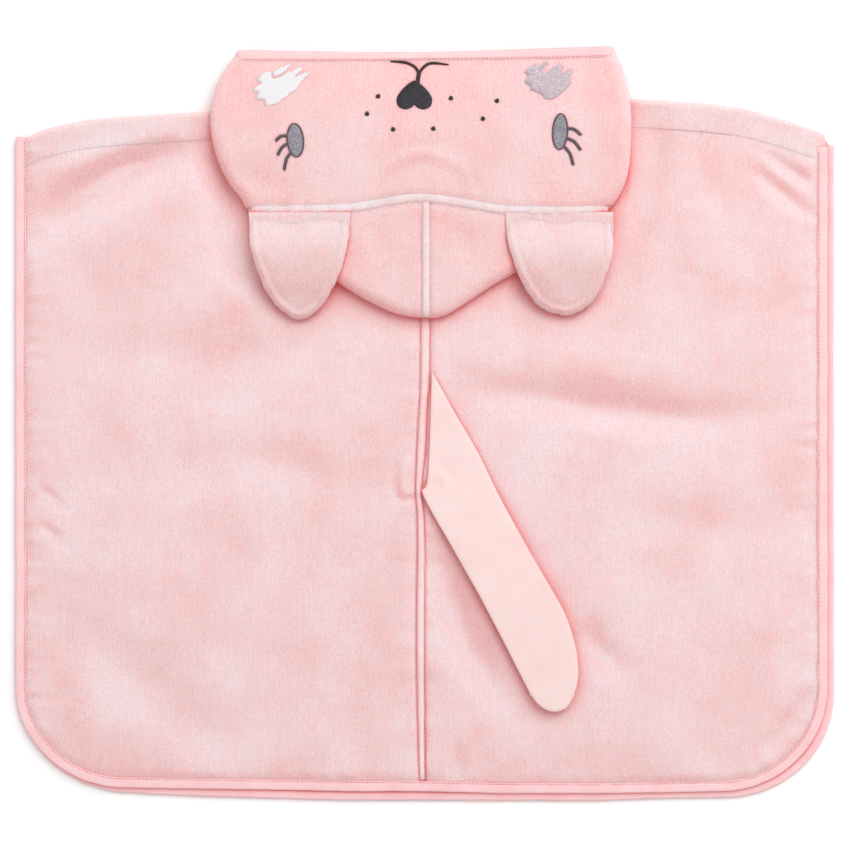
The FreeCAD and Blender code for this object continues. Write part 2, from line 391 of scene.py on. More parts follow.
def velourMaterial(name, light, dark, pale, deep, slopeShadeStrength):
    # Cotton velour terry: loops sheared to a dense pile. Painted light and shade: slopes that face up
    # the towel, towards the key light, are painted pale and slopes that face down it deep pink. Tufts give a fine
    # grain.
    material, tree, shader, place = newMaterial(name, {
        "Roughness": 0.95, "Specular IOR Level": 0.1,
        "Subsurface Weight": 0.55, "Subsurface Radius": (1.0, 0.3, 0.28), "Subsurface Scale": 0.007,
        "Sheen Weight": 0.3, "Sheen Roughness": 0.4, "Sheen Tint": linear("#FFE9EA"),
    })
    patches = noiseNode(tree, scaled(tree, place, (1, 0.75, 1)), 18, 2, 0.5)     # 55 mm nap patches
    clouds = noiseNode(tree, place, 95, 3, 0.6)                                  # 10 mm mottling
    speck = noiseNode(tree, scaled(tree, place, (1, 0.6, 1)), 820, 2, 0.75)      # 1.2 mm tufts
    rib = noiseNode(tree, scaled(tree, place, (1, 0.07, 1)), 560, 2, 0.6)        # 1.8 mm upright ribs
    # Painted light and shade: how far each surface faces up the towel, towards the key light, moves it along the ramp
    # from deep pink to pale.
    normal = addNode(tree, "ShaderNodeNewGeometry").outputs["Normal"]
    keyLightFacing = addNode(tree, "ShaderNodeVectorMath", {"operation": "DOT_PRODUCT", 1: (0.3, 0.95, 0.0)}, {0: normal})
    lean = addNode(tree, "ShaderNodeMath", {"operation": "MULTIPLY_ADD", 1: slopeShadeStrength},
                   {0: keyLightFacing.outputs["Value"], 2: patches})
    base = ramp(tree, lean.outputs[0], [(0.15, deep), (0.4, dark), (0.55, light), (0.75, pale), (1.0, light)])
    mottled = mixColours(tree, 0.22, base, ramp(tree, clouds, [(0.34, dark), (0.5, light), (0.68, pale)]))
    ribbed = mixColours(tree, 0.18, mottled, ramp(tree, rib, [(0.38, dark), (0.62, pale)]))
    tufted = mixColours(tree, 0.25, ribbed, ramp(tree, speck, [(0.36, deep), (0.5, light), (0.66, "#FFF0F2")]))
    # Painted shade: a deeper pink in creases and between folds.
    tree.links.new(paintedCreaseShade(tree, tufted), shader.inputs["Base Color"])
    pile = addNode(tree, "ShaderNodeMath", {"operation": "MULTIPLY_ADD", 1: 0.7}, {0: speck, 2: rib}).outputs[0]
    setBump(tree, shader, pile, 0.5, 0.0011)
    return material


def jerseyMaterial(name, light, dark, knit=1.1):
    # Cotton interlock jersey, knitted fine and smooth: even colour, small upright wales.
    material, tree, shader, place = newMaterial(name, {
        "Roughness": 0.8, "Specular IOR Level": 0.2,
        "Subsurface Weight": 0.35, "Subsurface Radius": (1.0, 0.45, 0.42), "Subsurface Scale": 0.003,
        "Sheen Weight": 0.12, "Sheen Tint": linear("#FFF0EC"),
    })
    wale = noiseNode(tree, scaled(tree, place, (1, 0.3, 1)), 1000 / knit, 2, 0.5)
    soft = noiseNode(tree, place, 45, 3, 0.5)
    base = ramp(tree, soft, [(0.3, dark), (0.7, light)])
    knitted = mixColours(tree, 0.22, base, ramp(tree, wale, [(0.3, dark), (0.7, light)]))
    # Painted shade: a deeper pink in creases and between folds.
    tree.links.new(paintedCreaseShade(tree, knitted), shader.inputs["Base Color"])
    setBump(tree, shader, wale, 0.3, 0.0004)
    return material


def threadMaterial(name, light, dark, roughness=0.42, metallic=0.0, sheen=0.1):
    # Rayon embroidery thread: a soft gloss that runs along each strand, with small shifts of tone.
    material, tree, shader, place = newMaterial(
        name, {"Roughness": roughness, "Metallic": metallic, "Sheen Weight": sheen})
    tone = noiseNode(tree, place, 950, 3, 0.7)
    tree.links.new(ramp(tree, tone, [(0.38, dark), (0.66, light)]), shader.inputs["Base Color"])
    setBump(tree, shader, noiseNode(tree, place, 1600, 2, 0.5), 0.3, 0.0003)
    return material


# The hood, the ears and the seams get their own tones of velour: deeper on the hood, redder on the ears and paler on
# the seams, each with weaker painted slope shade than the body.
velour = velourMaterial("velourTerry", "#FBCECE", "#F8C2C2", "#FAD8DC", "#F0A6A5", 1.7)
hoodVelour = velourMaterial("hoodVelourTerry", "#F9C8C7", "#F6BAB9", "#F8D1D5", "#EE9F9D", 0.9)
earVelour = velourMaterial("earVelourTerry", "#FFCBCA", "#FDBFBE", "#FED4D7", "#F6A3A1", 0.8)
seamVelour = velourMaterial("seamVelourTerry", "#FED5D6", "#FBC8C9", "#FEE1E3", "#F6B0AF", 0.5)
bindingJersey = jerseyMaterial("bindingJersey", "#F5D0D2", "#F1C2C5")
tailJersey = jerseyMaterial("tailJersey", "#FDD8D5", "#FBCFCB", knit=0.9)
seamThread = threadMaterial("paleSewingThread", "#F3C4C5", "#E9ABAD", 0.6)
bindingThread = threadMaterial("rosySewingThread", "#E58E94", "#D5787F", 0.6)
charcoalThread = threadMaterial("charcoalRayonThread", "#48444D", "#0E0C10", sheen=0.0)
greyThread = threadMaterial("greyRayonThread", "#BDB9C2", "#77737D")
slateThread = threadMaterial("slateRayonThread", "#716C75", "#48444C")
whiteThread = threadMaterial("whiteRayonThread", "#F8F6F8", "#E4E1E5", 0.35)
silverThread = threadMaterial("silverFlatThread", "#E6D8DD", "#B9A8B0", 0.3, 0.2)
print("materials made")

seamLine = {
    "left": [(-4.2, 224), (-3.8, 47), (-5.6, 3), (-7, -30), (-7.4, -48), (-6.2, -78), (-6.8, -166), (-4.6, -262)],
    "right": [(4.2, 224), (4.1, 47), (2.4, 17), (1.0, -18), (-1.6, -48), (0.2, -78), (0.2, -166), (0.2, -262)],
}

# Folds and creases: width, height (less than 0 for a valley) and line.
backFolds = [
    (16, -2.8, [(-171, 206), (-208, 191), (-250, 168), (-284, 142)]),
    (9, 1.0, [(-162, 221), (-205, 209), (-258, 190), (-284, 172)]),
    (13, -2.6, [(-168, 218), (-158, 190), (-146, 158), (-138, 125), (-120, 100)]),
    (11, -2.0, [(167, 226), (171, 191), (162, 154), (148, 118), (130, 92)]),
    (15, 1.2, [(196, 168), (202, 138), (196, 108)]),
    (5, -1.0, [(250, 200), (288, 175)]),
    (6, -1.1, [(240, 190), (283, 154)]),
    (13, -1.9, [(28, 30), (46, 25), (130, 12), (208, 4), (262, 12)]),
    (16, 0.8, [(40, 52), (130, 42), (220, 36)]),
    (11, -1.5, [(114, -140), (128, -166), (154, -190)]),
    (13, -2.4, [(4, -71), (26, -146), (48, -188), (70, -216)]),
    (22, -1.8, [(-270, -140), (-250, -158), (-167, -221), (-120, -236)]),
    (4, -0.7, [(-285, -44), (-265, -62)]),
    (4, -0.7, [(-285, -70), (-264, -89)]),
    (7, -1.1, [(288, -188), (268, -218), (246, -246)]),
    (6, -0.7, [(27, -268), (22, -232)]),
    (2.6, 1.0, [(-9, -24), (-15, -33), (-17, -44), (-14, -55)]),
    (3.5, -0.8, [(-15, -24), (-21, -36), (-22, -48), (-18, -60)]),
    (2.0, -0.9, [(-19, -54), (-3, -54)]),
    (20, -0.9, [(-255, 60), (-160, 48), (-60, 66)]),
    (18, -0.8, [(-230, -40), (-120, -28), (-40, -50)]),
    (18, -0.9, [(130, -60), (210, -78), (270, -70)]),
]


def seamSides(y):
    # The centre seam's middle and half its width, at each y.
    lines = (np.array(sorted(seamLine[k], key=lambda p: p[1])) for k in ("left", "right"))
    left, right = (np.interp(y, line[:, 1], line[:, 0]) for line in lines)
    return (left + right) / 2, (right - left) / 2


def shoulderY(x):
    line = np.vstack([smooth(towel["shoulderLeft"], 60), smooth(towel["shoulderRight"], 60)])
    return np.interp(x, line[:, 0], line[:, 1])


backEdge = skirtEdge("back")
grooves = [smooth(seamLine[k], 160) for k in ("left", "right")]


def backHeight(xy, seam=True):
    # The back panel's top face: lofted inside, low at its edges and in the seam's grooves.
    dEdge, along = nearest(xy, backEdge)
    z = towel["loft"] * (1 - np.exp(-(dEdge - 6).clip(0) / 22))
    z += 1.1 * noiseAt(xy, 95, 3.1) + 0.7 * noiseAt(xy, 38, 8.2) + 0.22 * noiseAt(xy, 15, 5.5)
    z += 1.9 * foldRelief(xy, backFolds)
    z += 1.1 * noiseRow(along, 7.5, dEdge / 30, 1.7) * np.exp(-(dEdge - 7).clip(0) / 10)
    hold = np.clip((dEdge - 4.5) / 8, 0, 1) ** 0.8        # the binding holds the edge down
    z = z.clip(-2.2, 3.8) * hold - 1.0 * (1 - hold)
    underHood = np.clip((xy[:, 1] - 92 - 0.45 * np.abs(xy[:, 0])) / 14, 0, 1) * (np.abs(xy[:, 0]) < 150)
    z = z * (1 - underHood) + np.minimum(z, 0.6) * underHood
    if seam:
        for k, groove in enumerate(grooves):
            d, seamAlong = nearest(xy, groove)
            z -= 0.75 * np.exp(-(d / 1.5) ** 2)
            z += 0.6 * noiseRow(seamAlong, 8, d / 25, 4.4 + k) * np.exp(-d / 10)      # puckers
        middle, half = seamSides(xy[:, 1])
        z -= 1.9 * np.clip(1 - np.abs(xy[:, 0] - middle) / half, 0, 1) ** 0.5
    return backTop + z.clip(-3.2, 3.4)


def halfSkirt(edge, side, middle):
    # One side edge with half of its corner, and the rest of that corner with half of the hem.
    part = edge[edge[:, 0] <= middle] if side == "left" else edge[edge[:, 0] >= middle][::-1]
    low = part[:, 1].min()
    corner = int(np.argmin(np.abs(part[:, 1] - (low + towel["cornerRadius"] * (1 - math.sqrt(0.5))))))
    return part[:corner + 1], part[corner:]


def shoulderSeam(side, count=60):
    # The seam on the back, below the fold of the shoulder, from the side edge in to the neck.
    left, right, hem = towel["back"]
    ends = (left + 2, -towel["neckHalf"]) if side == "left" else (towel["neckHalf"], right - 2)
    xs = np.linspace(*ends, count)
    return np.column_stack([xs, shoulderY(xs) - towel["shoulderDepth"]])


def makeBackPanel(side):
    edge = skirtEdge("back", 2.0)
    outer, hem = halfSkirt(edge, side, seamSides(-262.0)[0])
    seamTop = shoulderSeam(side) + np.array([0, 3.0])      # runs on under the turned-over cloth
    inner, neckY = seamTop[-1 if side == "left" else 0], towel["neckY"]
    neck = [(inner[0] * k, neckY + (inner[1] - neckY) * k ** 2) for k in (0.8, 0.5, 0.2)] + [(0, neckY)]
    top = np.vstack([seamTop, neck] if side == "left" else [neck[::-1], seamTop])
    corner = top[0] if side == "left" else top[-1]
    ys = np.linspace(hem[-1][1], neckY, 200)
    seam = np.column_stack([seamSides(ys)[0], ys])
    outer = np.vstack([corner, outer[outer[:, 1] < corner[1]]])[::-1]
    across, up = np.linspace(0, 1, 126), np.linspace(0, 1, 206)
    if side == "left":
        bm = patch(outer, seam, across, up, hem, top)
    else:
        bm = patch(seam, outer, across, up, hem[::-1], top)
    setHeights(bm, backHeight)
    piece = clothPiece(f"backPanel{side.title()}", bm, velour, towel["cloth"])
    finishPiece(piece, "root", [f"back_panel_{side}"])


def makeFrontPanel():
    edge = skirtEdge("front", 2.0)
    leftSide, leftHem = halfSkirt(edge, "left", 0)
    rightSide, rightHem = halfSkirt(edge, "right", 0)
    half = towel["neckHalf"]
    xs = np.linspace(-half, half, 41)
    scoop = np.column_stack([xs, shoulderY(xs) - 3 - 38 * (1 - (xs / half) ** 2)])
    ends = [np.linspace(edge[0][0], -half - 3, 40), np.linspace(half + 3, edge[-1][0], 40)]
    rim = towel["shoulderFold"]
    top = np.vstack([np.column_stack([ends[0], shoulderY(ends[0]) - rim]), scoop,
                     np.column_stack([ends[1], shoulderY(ends[1]) - rim])])
    leftSide, rightSide = (part[part[:, 1] < end[1]] for part, end in ((leftSide, top[0]), (rightSide, top[-1])))
    leftSide, rightSide = np.vstack([top[:1], leftSide])[::-1], np.vstack([top[-1:], rightSide])[::-1]
    hem = np.vstack([leftHem, rightHem[::-1]])
    bm = patch(leftSide, rightSide, np.linspace(0, 1, 130), np.linspace(0, 1, 110), hem, top)
    setHeights(bm, lambda xy: 2.5 + 0.15 * noiseAt(xy, 40, 9.9))
    piece = clothPiece("frontPanel", bm, velour, towel["cloth"])
    finishPiece(piece, "root", ["front_panel"])


def makeShoulderTurn(side):
    # The front panel's cloth turns over the shoulder and runs down to the seam on the back.
    seam = shoulderSeam(side, 200)
    r, depth = towel["shoulderFold"], towel["shoulderDepth"]
    turns, downs = np.linspace(-0.2, math.pi, 15), np.r_[np.linspace(0, depth - r - 0.25, 15)[1:], depth - r]
    rows = [("turn", a) for a in turns] + [("down", s) for s in downs]
    fold = shoulderY(seam[:, 0]) - r
    wave = noiseRow(seam[:, 0], 14, 0.4, 8.8)
    bm = bmesh.new()
    bmesh.ops.create_grid(bm, x_segments=len(seam) - 1, y_segments=len(rows) - 1, size=0.5)
    co = coords(bm)
    i = np.rint((co[:, 0] + 0.5) * (len(seam) - 1)).astype(int)
    j = np.rint((co[:, 1] + 0.5) * (len(rows) - 1)).astype(int)
    isTurn = np.array([kind == "turn" for kind, value in rows])[j]
    value = np.array([value for kind, value in rows])[j]
    y = np.where(isTurn, fold[i] + r * np.sin(value), fold[i] - value) + 0.3 * wave[i] * isTurn
    xy = np.column_stack([seam[i, 0], y])
    top = backHeight(xy)
    crest = backHeight(np.column_stack([seam[:, 0], fold]))[i]
    middle, half = (crest + 0.6) / 2, (crest - 0.6) / 2
    z = np.where(isTurn, middle - half * np.cos(value), top)
    z += np.where(isTurn, 0, 0.06)
    setCoords(bm, np.column_stack([xy, z]))
    bmesh.ops.reverse_faces(bm, faces=bm.faces)
    piece = clothPiece(f"shoulderTurn{side.title()}", bm, velour, 1.8)
    finishPiece(piece, "root", ["front_panel"])


skirtTape = {"width": 7.8, "thick": 3.3, "stitchAt": 6.6}
openingTape = {"width": 7.0, "thick": 3.4, "stitchAt": 5.9}
tapeStitch = {"length": 1.9, "gapLength": 1.1, "width": 0.7}


def tapeProfile(width, thick, stitchAt):
    # Half of the fold is round; the flat leaf has a groove at its stitch row and a soft inner edge.
    half = thick / 2
    turn = np.radians(np.linspace(-90, 90, 9))
    outer = np.column_stack([-np.cos(turn) * half * 0.9 + half * 0.9, np.sin(turn) * half])
    across = np.linspace(half * 1.6, width, 12)
    bulge = 0.16 * np.sin(np.pi * np.clip((across - half) / (width - half), 0, 1))
    groove = -0.34 * np.exp(-((across - stitchAt) / 0.55) ** 2)
    edgeDrop = -0.5 * np.clip((across - (width - 0.7)) / 0.7, 0, 1) ** 2
    upper = np.column_stack([across, half + bulge + groove + edgeDrop])
    lower = np.column_stack([across[::-1], -(half + 0.5 * bulge[::-1] + edgeDrop[::-1])])
    return np.vstack([outer, upper, lower])


def makeSkirtBinding(which, middleZ, tops):
    edge = skirtEdge(which, 0.0, tops, 760)
    along = lengthAlong(edge)
    z = np.full(len(edge), middleZ)
    profiles = np.repeat(tapeProfile(**skirtTape)[None], len(edge), axis=0)
    wobble, slow = noiseRow(along, 9, 0.3, middleZ), noiseRow(along, 60, 0.9, middleZ)
    profiles[:, :, 0] += 0.28 * wobble[:, None] + 0.5 * slow[:, None]
    profiles[:, :, 1] *= 1 + 0.1 * wobble[:, None]
    bm = sweep(np.column_stack([edge, z]), profiles, closed=True)
    finishPiece(makeObject(f"{which}Binding", bm, bindingJersey), "root", [f"{which}_edge_binding"])
    row = skirtEdge(which, skirtTape["stitchAt"], (tops[0] - 3, tops[1] - 3), 760)
    row = np.column_stack([row, z + 1.45])
    finishPiece(stitchRow(f"{which}BindingStitches", row, bindingThread, **tapeStitch), "root")


def bandProfiles(half, tall, sink, under, count, power):
    # A padded band, crowned on top and flat below: one profile for each point of its path.
    t = np.linspace(-1, 1, count)
    upper = np.stack([-t * half[:, None], (1 - np.abs(t) ** power) * tall[:, None] - sink], axis=2)
    lower = np.stack([t[1:-1] * half[:, None], np.full((len(half), count - 2), under)], axis=2)
    return np.concatenate([upper, lower], axis=1)


def makeCentreSeam():
    # The felled seam: a padded band between two stitched grooves.
    left, right = (smooth(seamLine[k], 320) for k in ("left", "right"))
    middle, half = (left + right) / 2, np.linalg.norm(right - left, axis=1) / 2
    base = backHeight(middle, seam=False) - 1.5
    lump = noiseRow(lengthAlong(middle), 9, 2.2, 0.4)
    taper = np.clip((middle[:, 1] + 266) / 10, 0.35, 1)
    profiles = bandProfiles(half * 0.93, (2.3 + 0.35 * lump) * taper, 0, -0.6, 17, 2.6)
    bm = sweep(np.column_stack([middle, base]), profiles, closed=True)
    finishPiece(makeObject("centreSeam", bm, seamVelour), "root", ["centre_back_seam"])
    for side, line in (("Left", left), ("Right", right)):
        row = np.column_stack([line, backHeight(line) + 0.25])
        finishPiece(stitchRow(f"centreSeamStitches{side}", row[6:], seamThread), "root")


def makeNeckTape():
    xs = np.linspace(-96, 96, 80)
    y = 226.5 + 6 * (np.abs(xs) / 96) ** 2.2
    path = np.column_stack([xs, y, backHeight(np.column_stack([xs, y])) + 0.2])
    turn = np.radians(np.linspace(0, 360, 13)[:-1])
    profile = np.column_stack([4 * np.cos(turn), 0.55 * np.sin(turn)])
    bm = sweep(path, profile, closed=True)
    finishPiece(makeObject("neckTape", bm, bindingJersey), "root", ["neck_seam_tape"])


for side in ("left", "right"):
    makeBackPanel(side)
makeFrontPanel()
for side in ("left", "right"):
    makeShoulderTurn(side)
makeSkirtBinding("back", backTop - 1.5, (212, 205))
makeSkirtBinding("front", 1.75, (209, 206))
makeCentreSeam()
makeNeckTape()
xs = np.linspace(172, 226, 30)
line = np.column_stack([xs, shoulderY(xs) - towel["shoulderDepth"]])
line = np.column_stack([line, backHeight(line) + 0.15])
finishPiece(stitchRow("shoulderStitches", line, seamThread), "root")
print("towel body made")

hoodCurves = {
    "opening": smooth(hoodShape["opening"], 300),
    "left": smooth(hoodShape["leftFold"], 200),
    "right": smooth(hoodShape["rightFold"], 200),
    "ear": smooth(hoodShape["earSeam"], 300),
}
crownEdge = smooth(hoodShape["crownEdge"], 400)
lowest = int(np.argmin(np.abs(crownEdge[:, 0] - hoodShape["crownSeamX"])))
hoodCurves["crownLeft"], hoodCurves["crownRight"] = crownEdge[:lowest + 1][::-1], crownEdge[lowest:]
hoodRim = np.vstack([hoodCurves["left"][::-1], crownEdge[1:-1], hoodCurves["right"]])

hoodSteps = clustered(150)          # the face panel and the crown share these along the ear seam

hoodFolds = [
    (4.5, 0.75, [(-46, 172), (-34, 183), (-21, 193), (0, 198), (20, 193), (33, 181), (37, 169)]),
    (6.0, -0.3, [(-38, 172), (-20, 186), (0, 191), (17, 187), (28, 176)]),
    (2.2, -0.9, [(33, 186), (38, 176), (37, 168)]),
    (7, -0.6, [(-140, 190), (-120, 178), (-96, 172)]),
    (9, 0.5, [(88, 228), (112, 218), (136, 196)]),
    (10, 0.5, [(-60, 206), (-20, 214), (20, 212), (60, 200)]),
    (8, -0.6, [(-146, 200), (-128, 214), (-104, 222)]),
    (8, -0.6, [(142, 190), (126, 206), (118, 228)]),
    (16, 0.8, [(-2, 150), (-2, 118)]),
    (9, -0.7, [(-34, 150), (-30, 118)]),
    (9, -0.7, [(34, 150), (30, 120)]),
]


def hoodHeight(xy, layer=1):
    # Layer 1 is the upper face of the flattened hood, and -1 the lower face of its under layer.
    d = nearest(xy, hoodRim, 700)[0]
    turn = (1 - (1 - np.clip(d / hoodShape["foldRadius"], 0, 1)) ** 2.2) ** 0.5
    half = (hoodTop - underZ) / 2 + (hoodShape["puff"] if layer > 0 else 0)
    z = foldZ + layer * half * turn
    if layer > 0:
        relief = 0.8 * noiseAt(xy, 60, 11.3) + 0.45 * noiseAt(xy, 24, 2.9) + 1.3 * foldRelief(xy, hoodFolds)
        dEar, along = nearest(xy, hoodCurves["ear"])
        relief -= 0.6 * np.exp(-((dEar - 3.6) / 1.3) ** 2)
        relief += 0.8 * noiseRow(along, 8, 0.2, 6.1) * np.exp(-dEar / 9)
        relief -= 0.6 * np.exp(-((np.abs(xy[:, 0] - hoodShape["crownSeamX"]) - 3.2) / 1.2) ** 2) * (xy[:, 1] < 165)
        dTop, along = nearest(xy, hoodCurves["opening"])
        relief += 0.9 * noiseRow(along, 10, 0.6, 3.3) * np.exp(-dTop / 9)
        z += relief.clip(-2.2, 1.3) * turn
    return z


def bothLayers(left, right, uSteps, vSteps, low=None, high=None):
    # Two layers of one cloth, the second under the first, which meet at the rim that they turn over.
    parts = []
    for layer in (1, -1):
        bm = patch(left, right, uSteps, vSteps, low, high)
        co = coords(bm)
        co[:, 2] = hoodHeight(co[:, :2], layer)
        isEdge = np.array([v.is_boundary for v in bm.verts])
        co[isEdge & (nearest(co[:, :2], hoodRim, 700)[0] < 0.5), 2] = foldZ
        setCoords(bm, co)
        if layer < 0:
            bmesh.ops.reverse_faces(bm, faces=bm.faces)
        parts.append(bm)
    return parts


def joined(parts):
    bm = bmesh.new()
    for part in parts:
        mesh = bpy.data.meshes.new("part")
        part.to_mesh(mesh)
        part.free()
        bm.from_mesh(mesh)
        bpy.data.meshes.remove(mesh)
    bmesh.ops.remove_doubles(bm, verts=bm.verts, dist=0.05)
    return bm


def blendHood(piece):
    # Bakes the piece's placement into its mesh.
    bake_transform(piece)


def makeFacePanel():
    c = hoodCurves
    parts = bothLayers(c["left"], c["right"], hoodSteps, np.linspace(0, 1, 50), c["ear"], c["opening"])
    under = parts[1]
    co = coords(under)
    far = (nearest(co[:, :2], hoodRim)[0] > 4) & (co[:, 1] > hoodShape["neck"])
    under.verts.index_update()
    gone = [f for f in under.faces if any(far[v.index] for v in f.verts)]
    bmesh.ops.delete(under, geom=gone, context="FACES")
    co = coords(under)
    mouth = co[:, 1] > hoodShape["neck"]
    co[mouth, 2] = np.maximum(co[mouth, 2], foldZ - 1.5)
    setCoords(under, co)
    bm = joined(parts)
    piece = clothPiece("facePanel", bm, hoodVelour, hoodShape["cloth"])
    blendHood(piece)
    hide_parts("face_panel")


def makeCrown(side):
    c = hoodCurves
    foot, ear = crownEdge[lowest], c["ear"]
    at = int(np.argmin(np.abs(ear[:, 0] - hoodShape["crownSeamX"])))
    share = at / (len(ear) - 1)
    seam = np.column_stack([np.linspace(foot[0], ear[at][0], 60), np.linspace(foot[1], ear[at][1], 60)])
    outer = c[f"crown{side.title()}"]
    turnAt = int(np.argmin(np.abs(lengthAlong(outer)[1:] - 42)))
    low, rise = outer[:turnAt + 1], outer[turnAt:]
    up = clustered(60, both=False)
    if side == "left":
        across = np.r_[hoodSteps[hoodSteps < share - 0.004] / share, 1]
        parts = bothLayers(rise, seam, across, up, low[::-1], ear[:at + 1])
    else:
        across = np.r_[0, (hoodSteps[hoodSteps > share + 0.004] - share) / (1 - share)]
        parts = bothLayers(seam, rise, across, up, low, ear[at:])
    bm = joined(parts)
    piece = clothPiece(f"crown{side.title()}", bm, hoodVelour, hoodShape["cloth"])
    blendHood(piece)
    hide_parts(f"crown_{side}", f"hood_under_{side}")


def raisedBand(name, path, width, height, node):
    # A felled seam that stands on the hood's upper face, with a stitch row along each edge.
    lump = noiseRow(lengthAlong(path), 7, 5.2, 0.4)
    profiles = bandProfiles(np.full(len(path), width / 2), height + 0.25 * lump, 0.5, -1.2, 13, 2.4)
    bm = sweep(np.column_stack([path, hoodHeight(path)]), profiles, closed=True)
    finishPiece(makeObject(name, bm, seamVelour), "hood_top", [node])
    for k, shift in enumerate((-1, 1)):
        row = path + sideways(path) * shift * width * 0.47
        line = np.column_stack([row, hoodHeight(row) + 0.15])
        finishPiece(stitchRow(f"{name}Stitches{k + 1}", line, seamThread), "hood_top")


def makeOpeningBinding():
    edge = hoodCurves["opening"]
    z = hoodHeight(edge - np.array([0, 3.0])) - 1.2
    width = np.interp(edge[:, 0], [-138, -60, 0, 60, 138], [8.2, 7.0, 5.8, 7.2, 8.4])
    profiles = np.repeat(tapeProfile(**openingTape)[None], len(edge), axis=0)
    profiles[:, :, 0] *= -(width / openingTape["width"])[:, None]
    bm = sweep(np.column_stack([edge, z]), profiles, closed=True)
    finishPiece(makeObject("openingBinding", bm, bindingJersey), "hood_top", ["hood_opening_binding"])
    row = edge - np.column_stack([np.zeros(len(edge)), width * 0.86])
    row = np.column_stack([row, z + 1.5])[4:-4]
    finishPiece(stitchRow("openingStitches", row, bindingThread, **tapeStitch), "hood_top")


makeFacePanel()
for side in ("left", "right"):
    makeCrown(side)
raisedBand("earSeam", smooth(hoodShape["earSeam"], 220)[3:-3], 7.0, 0.9, "ear_seam_band")
crownLine = np.column_stack([np.full(90, hoodShape["crownSeamX"]), np.linspace(163.5, 79.0, 90)])
raisedBand("crownSeam", crownLine, 6.2, 1.3, "crown_centre_seam")
makeOpeningBinding()
print("hood made")

earShape = {
    "left": [(-129, 155.5), (-128, 134), (-124, 117), (-115.5, 97), (-105, 84), (-93, 77.5), (-80, 83), (-69, 97),
             (-60.5, 114), (-56, 134), (-54, 155.5)],
    "right": [(58.5, 155.5), (59.5, 138), (64, 120), (72, 101.5), (82, 88.5), (95, 81.5), (109, 81.3), (121, 89),
              (131.5, 107), (137, 128), (137.5, 155.5)],
    "puff": 2.1,
    "rimRadius": 7.0,
    "rootZ": hoodTop + 0.1,
    "baseZ": hoodTop + 3.8,
    "sagFrom": 124.0,     # below this line the ear hangs down off the hood
    "sag": 8.0,
    "cloth": 1.5,
    "edgeWave": 0.7,
    "tip": 34,            # length of the outline that counts as its end
}


def splitOutline(points, tip, wave=0.0, seed=0.0):
    # Splits a U-shaped outline into its left side, a tip of a given length, and its right side.
    outline = smooth(points, 600)
    order = np.arange(len(outline))
    shift = noiseRow(order, 20, seed, 0.5) * wave * np.clip(np.minimum(order, order[::-1]) / 40, 0, 1)
    outline = outline + sideways(outline) * shift[:, None]
    step = lengthAlong(outline)[-1] / (len(outline) - 1)
    low, half = int(np.argmin(outline[:, 1])), int(tip / 2 / step)
    return outline[:low - half + 1][::-1], outline[low - half:low + half + 1], outline[low + half:]


def leafLayer(name, sides, steps, merge, layer, heightAt, material, cloth):
    # One layer of a leaf of cloth, such as an ear; layer 1 is its upper side and -1 its lower side.
    left, tip, right = sides
    bm = patch(left, right, *steps, tip, [left[-1], right[-1]])
    setHeights(bm, heightAt)
    bmesh.ops.remove_doubles(bm, verts=bm.verts, dist=merge)
    if layer < 0:
        bmesh.ops.reverse_faces(bm, faces=bm.faces)
    return clothPiece(name, bm, material, cloth)


def makeEar(side):
    ear = earShape
    sides = splitOutline(ear[side], ear["tip"], ear["edgeWave"], 3.0 if side == "left" else 9.0)
    rim = np.vstack([sides[0][::-1], *sides[1:]])
    for layer, label in ((1, "Outer"), (-1, "Lining")):
        def heightAt(xy):
            d = nearest(xy, rim)[0]
            turn = (1 - (1 - np.clip(d / ear["rimRadius"], 0, 1)) ** 2.3) ** 0.55
            below = ((ear["sagFrom"] - xy[:, 1]) / 40).clip(0)
            rise = softStep(np.clip((156 - xy[:, 1]) / 30, 0, 1))
            pinch = turn * (0.15 + 0.85 * rise ** 0.7)          # flat where it is sewn in
            z = ear["rootZ"] + (ear["baseZ"] - ear["rootZ"]) * rise - ear["sag"] * below ** 1.5
            z += layer * ear["puff"] * pinch
            if layer > 0:
                z += (0.8 * noiseAt(xy, 26, 7.7) + 0.4 * noiseAt(xy, 12, 4.2)) * pinch
                z += 0.45 * np.exp(-((d - 3.6) / 1.5) ** 2) - 0.35 * np.exp(-((d - 7.2) / 1.8) ** 2)
                middle = xy[:, 0].mean()
                z += foldRelief(xy, [(9, -0.8, [(middle - 6, 153), (middle - 2, 122)])])
            return z

        piece = leafLayer(f"ear{side.title()}{label}", sides, (clustered(50), clustered(46, both=False)), 0.25,
                          layer, heightAt, earVelour, ear["cloth"])
        finishPiece(piece, f"ear_{side}", [f"ear_{side}_{label.lower()}"])


for side in ("left", "right"):
    makeEar(side)
print("ears made")

tailShape = {
    "outline": [(4.9, 38.6), (3.4, -10), (1.4, -43), (-1.5, -51.4), (20, -90), (43, -131), (72, -187), (79, -200),
                (86.5, -207.5), (95, -210), (103.5, -207), (109.5, -196), (112.3, -181), (109.5, -159),
                (101, -135), (81, -100), (55.5, -54), (40, -22), (22, 9), (5.8, 38)],
    "puff": 0.9,
    "rimRadius": 4.0,
    "cloth": 0.7,
    "lift": 5.0,          # how far its end stands off the towel
    "tip": 44,
    "folds": [
        (6, 0.35, [(12, 20), (34, -30), (62, -84)]),
        (8, -0.3, [(30, -92), (60, -140), (84, -176)]),
        (2.6, 1.3, [(2, -41), (9, -36), (15, -42), (13, -50)]),
        (3.2, -0.5, [(5, -34), (14, -30), (22, -40)]),
    ],
}


